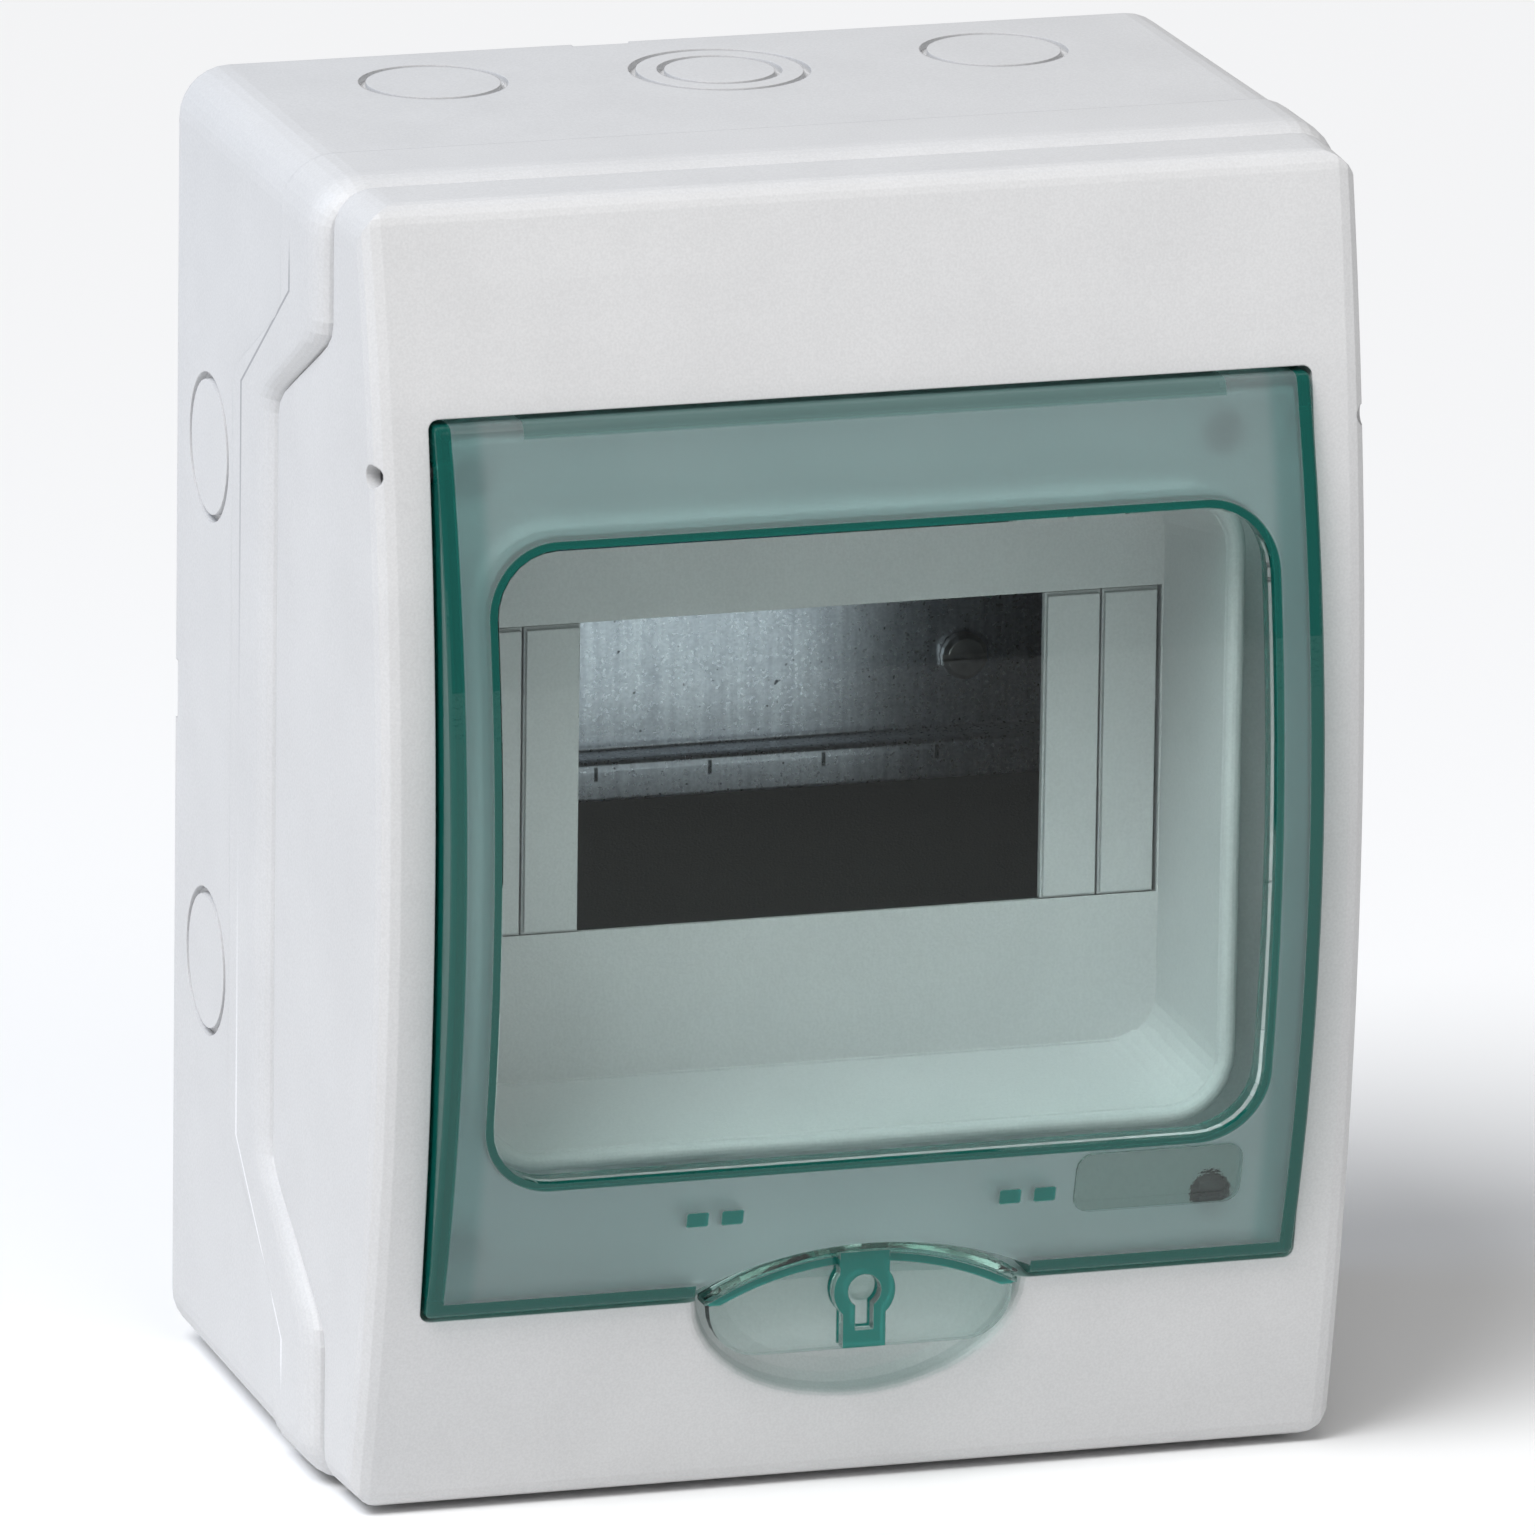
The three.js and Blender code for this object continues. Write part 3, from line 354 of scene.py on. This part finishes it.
def outside_round(tree, x, z, spot):
    """Distance outside a circle on the line x = 0 of the front view."""
    radius, middle_z = spot
    off_z = calc(tree, "SUBTRACT", z, middle_z)
    square = calc(tree, "ADD", calc(tree, "POWER", calc(tree, "ABSOLUTE", x), 2.0),
                  calc(tree, "POWER", calc(tree, "ABSOLUTE", off_z), 2.0))
    return calc(tree, "SUBTRACT", calc(tree, "SQRT", square), radius)


def inside(tree, distance):
    return step_up(tree, distance, MASK_SOFT, -MASK_SOFT)


def strongest(tree, *masks):
    total = masks[0]
    for mask in masks[1:]:
        total = calc(tree, "MAXIMUM", total, mask)
    return total


def mix_colour(tree, factor, first, second, blend="MIX"):
    node = tree.nodes.new("ShaderNodeMix")
    node.data_type = "RGBA"
    node.blend_type = blend
    for socket, value in ((node.inputs["Factor"], factor), (node.inputs["A"], first),
                          (node.inputs["B"], second)):
        if isinstance(value, (tuple, float)):
            socket.default_value = value
        else:
            tree.links.new(value, socket)
    return node.outputs["Result"]


def multiply(tree, first, second):
    return mix_colour(tree, 1.0, first, second, "MULTIPLY")


def mix_value(tree, factor, first, second):
    node = tree.nodes.new("ShaderNodeMapRange")
    tree.links.new(factor, node.inputs["Value"])
    node.inputs["To Min"].default_value = first
    node.inputs["To Max"].default_value = second
    return node.outputs["Result"]


def object_coords(tree):
    return tree.nodes.new("ShaderNodeTexCoord").outputs["Object"]


def noise(tree, scale, detail):
    texture = tree.nodes.new("ShaderNodeTexNoise")
    texture.inputs["Scale"].default_value = scale
    texture.inputs["Detail"].default_value = detail
    tree.links.new(object_coords(tree), texture.inputs["Vector"])
    return texture.outputs["Fac"]


def ramp(tree, source, span, colours):
    node = tree.nodes.new("ShaderNodeValToRGB")
    for element, position, colour in zip(node.color_ramp.elements, span, colours):
        element.position = position
        element.color = colour
    tree.links.new(source, node.inputs["Fac"])
    return node.outputs["Color"]


def bump(tree, shader, height, strength, distance):
    node = tree.nodes.new("ShaderNodeBump")
    node.inputs["Strength"].default_value = strength
    node.inputs["Distance"].default_value = distance
    tree.links.new(height, node.inputs["Height"])
    tree.links.new(node.outputs["Normal"], shader.inputs["Normal"])
    return node


def soft_edges(tree, bump_node, radius):
    edge = tree.nodes.new("ShaderNodeBevel")
    edge.samples = EDGE_SAMPLES
    edge.inputs["Radius"].default_value = radius
    tree.links.new(edge.outputs["Normal"], bump_node.inputs["Normal"])


# ---- opaque materials --------------------------------------------------------------------------
def base_hollow_painted_shade(tree, x, y, z):
    """Painted shade over the hollow of the base, behind its walls."""
    within = step_up(tree, outside_rect(tree, x, z, INSIDE_RECT), INSIDE_SOFT, 0.0)
    return calc(tree, "MULTIPLY", within, step_up(tree, y, INSIDE_Y, INSIDE_Y - INSIDE_SOFT))


def painted_collar_line(tree, y, z):
    """Fine line of painted light and shade along the collar, which steps back over the middle of
    the height.
    """
    middle = calc(tree, "MULTIPLY", step_up(tree, z, *COLLAR_LINE_TOP, "LINEAR"),
                  step_up(tree, z, *COLLAR_LINE_BOTTOM, "LINEAR"))
    line = calc(tree, "SUBTRACT", calc(tree, "MULTIPLY", middle, COLLAR_LINE_STEP), COLLAR_LINE_STEP)
    back = calc(tree, "SUBTRACT", y, COLLAR_LINE_BACK)
    off = calc(tree, "ABSOLUTE", calc(tree, "SUBTRACT", back, line))
    faded = step_up(tree, calc(tree, "ABSOLUTE", z), COLLAR_LINE_END, COLLAR_LINE_END - COLLAR_LINE_FADE)
    return calc(tree, "MULTIPLY", faded, step_up(tree, off, COLLAR_LINE_HALF * 2, COLLAR_LINE_HALF))


def collar_line_painted_shadow(tree, _, y, z):
    """Upper half of the line: painted shadow."""
    return calc(tree, "MULTIPLY", painted_collar_line(tree, y, z), step_up(tree, z, 0.0, COLLAR_LINE_TONE))


def collar_line_painted_highlight(tree, _, y, z):
    """Lower half of the line: painted highlight."""
    return calc(tree, "MULTIPLY", painted_collar_line(tree, y, z), step_up(tree, z, 0.0, -COLLAR_LINE_TONE))


def well_painted_shade(tree, x, y, z):
    """Painted shade inside the four screw wells of the cover."""
    fold = calc(tree, "SUBTRACT", calc(tree, "ABSOLUTE", x), WELL_X)
    wells = [inside(tree, outside_round(tree, fold, z, (WELL_RADIUS, height)))
             for height in WELL_HEIGHTS]
    deep = step_up(tree, y, WELL_MOUTH - MASK_SOFT, WELL_MOUTH)
    return calc(tree, "MULTIPLY", strongest(tree, *wells), deep)


def grained_plastic(name, tones, roughness=PLASTIC_ROUGHNESS, painted_light=()):
    """Moulded plastic with a fine grain; each pair in the last argument is a mask and the colour of
    painted shade or highlight that it brings.
    """
    material, tree, shader = new_material(name)
    tint = ramp(tree, noise(tree, *PLASTIC_CLOUD), CLOUD_SPAN, tones)
    for mask, shade in painted_light:
        tint = mix_colour(tree, mask(tree, *place(tree)), tint, shade)
    shader.inputs["Roughness"].default_value = roughness
    shader.inputs["Specular IOR Level"].default_value = PLASTIC_GLOSS
    grain = noise(tree, *PLASTIC_GRAIN)
    speckle = ramp(tree, grain, FINE_SPAN, (PLASTIC_SPECKLE, WHITE))
    tree.links.new(multiply(tree, tint, speckle), shader.inputs["Base Color"])
    soft_edges(tree, bump(tree, shader, grain, *PLASTIC_BUMP), PLASTIC_EDGE)
    return material


def metal(name, tones, roughness=METAL_ROUGHNESS):
    material, tree, shader = new_material(name)
    cloud = noise(tree, *METAL_CLOUD)
    tree.links.new(ramp(tree, cloud, FINE_SPAN, tones), shader.inputs["Base Color"])
    shader.inputs["Metallic"].default_value = 1.0
    shader.inputs["Roughness"].default_value = roughness
    soft_edges(tree, bump(tree, shader, cloud, *METAL_BUMP), METAL_EDGE)
    return material


def crystals(tree):
    """Two unrelated values that are the same all over each zinc crystal."""
    texture = tree.nodes.new("ShaderNodeTexVoronoi")
    texture.inputs["Scale"].default_value = CRYSTAL_SCALE
    tree.links.new(object_coords(tree), texture.inputs["Vector"])
    flake = tree.nodes.new("ShaderNodeSeparateColor")
    tree.links.new(texture.outputs["Color"], flake.inputs["Color"])
    return flake.outputs["Red"], flake.outputs["Green"]


def upright_streaks(tree):
    stretch = tree.nodes.new("ShaderNodeMapping")
    stretch.inputs["Scale"].default_value = STREAK_STRETCH
    tree.links.new(object_coords(tree), stretch.inputs["Vector"])
    streaks = tree.nodes.new("ShaderNodeTexNoise")
    streaks.inputs["Scale"].default_value = STREAK_SCALE
    tree.links.new(stretch.outputs["Vector"], streaks.inputs["Vector"])
    return streaks.outputs["Fac"]


def module_marks(tree):
    """Short upright marks, one for each module, on the rail's lower flange."""
    x, _, z = place(tree)
    along = calc(tree, "MODULO", calc(tree, "ADD", x, MARK_SHIFT), MARK_PITCH)
    off = calc(tree, "ABSOLUTE", calc(tree, "SUBTRACT", along, MARK_PITCH / 2))
    line = step_up(tree, off, MARK_WIDTH, MARK_WIDTH / 2)
    return calc(tree, "MULTIPLY", line, between(tree, z, MARK_END, MARK_TOP, MARK_WIDTH / 2))


def galvanised():
    """Zinc-coated sheet: fine crystals, upright streaks, dark pinholes and stamped module marks."""
    material, tree, shader = new_material("zinc")
    tone, shine = crystals(tree)
    streaks = upright_streaks(tree)
    tint = multiply(tree, ramp(tree, tone, (0.0, 1.0), ZINC),
                    ramp(tree, streaks, CLOUD_SPAN, (STREAK_SHADE, WHITE)))
    tint = mix_colour(tree, step_up(tree, noise(tree, *PIT_NOISE), *PIT_SPAN), tint, PIT_COLOUR)
    tint = mix_colour(tree, module_marks(tree), tint, MARK_COLOUR)
    tree.links.new(tint, shader.inputs["Base Color"])
    shader.inputs["Metallic"].default_value = 1.0
    tree.links.new(mix_value(tree, shine, *CRYSTAL_ROUGHNESS), shader.inputs["Roughness"])
    soft_edges(tree, bump(tree, shader, streaks, *STREAK_BUMP), RAIL_EDGE)
    return material


# ---- see-through materials ---------------------------------------------------------------------
def let_lamps_through(tree, colour):
    """Lamps light what is behind the clear plastic; the shadow it casts is only a tint."""
    output = tree.nodes["Material Output"]
    surface = output.inputs["Surface"].links[0].from_socket
    rays = tree.nodes.new("ShaderNodeLightPath")
    thin = tree.nodes.new("ShaderNodeBsdfTransparent")
    thin.inputs["Color"].default_value = colour
    choose = tree.nodes.new("ShaderNodeMixShader")
    tree.links.new(rays.outputs["Is Shadow Ray"], choose.inputs["Fac"])
    tree.links.new(surface, choose.inputs[1])
    tree.links.new(thin.outputs["BSDF"], choose.inputs[2])
    tree.links.new(choose.outputs["Shader"], output.inputs["Surface"])


def tinted_volume(tree, colour, density):
    volume = tree.nodes.new("ShaderNodeVolumeAbsorption")
    volume.inputs["Color"].default_value = colour
    volume.inputs["Density"].default_value = density
    tree.links.new(volume.outputs["Volume"], tree.nodes["Material Output"].inputs["Volume"])


def clear_pane():
    material, tree, shader = new_material("pane")
    tint = ramp(tree, noise(tree, *PANE_CLOUD), CLOUD_SPAN, PANE)
    tree.links.new(tint, shader.inputs["Base Color"])
    shader.inputs["Roughness"].default_value = PANE_ROUGHNESS
    shader.inputs["Transmission Weight"].default_value = 1.0
    shader.inputs["IOR"].default_value = PANE_IOR
    bump(tree, shader, noise(tree, *PANE_WAVES), *PANE_BUMP)
    let_lamps_through(tree, PANE_SHADOW)
    tinted_volume(tree, PANE_TINT, PANE_DENSITY)
    return material


def rim_mask(tree, x, z):
    """Skirt seen end on: all round the door, but not at the arch, and weaker along the top."""
    rim = between(tree, outside_rect(tree, x, z, DOOR_RECT), -RIM_WIDTH, RIM_OUT, MASK_SOFT)
    wide = calc(tree, "ABSOLUTE", x)
    low_middle = calc(tree, "MULTIPLY", step_up(tree, wide, ARCH_HALF, ARCH_HALF - MASK_SOFT),
                      step_up(tree, z, 0.0, -RIM_WIDTH))
    top = step_up(tree, z, TOP_EDGE, TOP_EDGE + RIM_WIDTH)
    top = calc(tree, "MULTIPLY", top, step_up(tree, wide, RIM_INNER + MASK_SOFT, RIM_INNER))
    ends = step_up(tree, wide, TOP_GAP, TOP_GAP + MASK_SOFT)
    loss = calc(tree, "ADD", TOP_LOSS, calc(tree, "MULTIPLY", ends, 1 - TOP_LOSS))
    keep = calc(tree, "SUBTRACT", 1.0, calc(tree, "MULTIPLY", top, loss))
    shown = calc(tree, "MULTIPLY", rim, calc(tree, "SUBTRACT", 1.0, low_middle))
    return calc(tree, "MULTIPLY", shown, keep)


def arch_masks(tree, x, z):
    """The open arch with the tab in it, and the dark band that follows its edge."""
    wide = calc(tree, "ABSOLUTE", x)
    within = step_up(tree, wide, ARCH_HALF + MASK_SOFT, ARCH_HALF - MASK_SOFT)
    opening = calc(tree, "MULTIPLY", within, inside(
        tree, outside_round(tree, x, z, (ARCH_RADIUS, ARCH_CENTRE))))
    narrow = calc(tree, "DIVIDE", x, ARCH_NARROW)
    edge = outside_round(tree, narrow, z, (ARCH_RADIUS, ARCH_CENTRE - ARCH_DROP))
    band = calc(tree, "MULTIPLY", between(tree, edge, -ARCH_WALL, 0.0, MASK_SOFT),
                step_up(tree, z, ARCH_FOOT - MASK_SOFT, ARCH_FOOT + MASK_SOFT))
    return opening, calc(tree, "MULTIPLY", band, within)


def boss_mask(tree, x, z):
    """Thick keyhole-shaped wall on the tab."""
    solid = calc(tree, "MINIMUM", outside_round(tree, x, z, BOSS_ROUND), calc(
        tree, "MINIMUM", outside_rect(tree, x, z, BOSS_LEG), outside_rect(tree, x, z, BOSS_NECK)))
    hollow = calc(tree, "MINIMUM", outside_round(tree, x, z, EYE_ROUND),
                  outside_rect(tree, x, z, EYE_SLOT))
    return calc(tree, "MULTIPLY", inside(tree, solid), step_up(tree, hollow, -MASK_SOFT, MASK_SOFT))


def catch_mask(tree, x, z):
    fold = calc(tree, "ABSOLUTE", calc(tree, "SUBTRACT", calc(tree, "ABSOLUTE", x), CATCH_MIDDLE))
    return inside(tree, outside_rect(tree, fold, z, CATCH_RECT))


def frosted_tint(tree, x):
    """Green of the frosted face, deeper in the strips beside the window."""
    side = step_up(tree, calc(tree, "ABSOLUTE", x), SIDE_STRIP, SIDE_STRIP + RIM_WIDTH)
    strip = mix_colour(tree, side, WHITE, FROSTED_SIDES)
    return multiply(tree, ramp(tree, noise(tree, *DOOR_CLOUD), CLOUD_SPAN, FROSTED), strip)


def door_plastic():
    """Green see-through plastic: frosted, clear at the tab and the label, dark in thick rims."""
    material, tree, shader = new_material("door")
    x, _, z = place(tree)
    ring = between(tree, outside_rect(tree, x, z, WINDOW_RECT), 0.0, RING_WIDTH, MASK_SOFT)
    rims = strongest(tree, ring, rim_mask(tree, x, z))
    opening, band = arch_masks(tree, x, z)
    walls = strongest(tree, band, boss_mask(tree, x, z), catch_mask(tree, x, z))
    dark = strongest(tree, walls, rims)
    polished = strongest(tree, inside(tree, outside_rect(tree, x, z, LABEL_RECT)), opening)
    clear = strongest(tree, polished, dark)

    tint = mix_colour(tree, polished, frosted_tint(tree, x), POLISHED)
    tint = mix_colour(tree, walls, tint, BAND_COLOUR)
    tree.links.new(mix_colour(tree, rims, tint, RIM_COLOUR), shader.inputs["Base Color"])
    rough = mix_value(tree, clear, FROST_ROUGHNESS, POLISHED_ROUGHNESS)
    tree.links.new(rough, shader.inputs["Roughness"])
    see = calc(tree, "ADD", MILKY, calc(tree, "MULTIPLY", clear, 1 - MILKY))
    see = calc(tree, "SUBTRACT", see, calc(tree, "MULTIPLY", dark, 1 - RIM_CLEAR))
    tree.links.new(see, shader.inputs["Transmission Weight"])
    shader.inputs["IOR"].default_value = DOOR_IOR
    shader.inputs["Specular IOR Level"].default_value = DOOR_GLOSS
    bump(tree, shader, noise(tree, *DOOR_GRAIN), *DOOR_BUMP)
    let_lamps_through(tree, DOOR_SHADOW)
    tinted_volume(tree, DOOR_TINT, DOOR_DENSITY)
    return material


# ---- dressing the pieces -----------------------------------------------------------------------
def slot_materials():
    return {
        "housing_plastic": grained_plastic("housing", HOUSING),
        "seal_rubber": grained_plastic("seal", SEAL, SEAL_ROUGHNESS),
        "zinc_steel": galvanised(),
        "screw_steel": metal("screw", SCREW),
        "terminal_brass": metal("brass", BRASS),
        "carrier_plastic": grained_plastic("carrier", CARRIER),
        "door_plastic": door_plastic(),
        "clear_plastic": clear_pane(),
    }


def special_materials():
    """Materials of nodes that differ from the rest of their slot."""
    # painted shade in the base's hollow and the cover's wells; painted shadow and highlight along
    # the collar
    base_painted_light = ((base_hollow_painted_shade, BASE_PAINTED_SHADE), (collar_line_painted_shadow, COLLAR_SHADOW_PAINT),
                   (collar_line_painted_highlight, COLLAR_HIGHLIGHT_PAINT))
    special = {
        "base_shell": grained_plastic("housing_base", HOUSING, painted_light=base_painted_light),
        "cover_shell": grained_plastic("housing_cover", HOUSING,
                                       painted_light=((well_painted_shade, WELL_PAINTED_SHADE),)),
    }
    dull = metal("screw_dull", DULL_SCREW, DULL_ROUGHNESS)
    special.update({name: dull for name in nodes if name.startswith(DULL_NODES)})
    return special


def dress_nodes():
    by_slot = slot_materials()
    special = special_materials()
    slots = {entry["node"]: entry["material_slot"] for entry in frame["record"]["subparts"]}
    for name, node in nodes.items():
        node.data.materials.clear()
        node.data.materials.append(special.get(name, by_slot[slots[name]]))
        node.data.shade_smooth()
        node.data.set_sharp_from_angle(angle=SMOOTH_ANGLE)


make_camera()
make_world()
make_floor()
make_lamps()
dress_nodes()
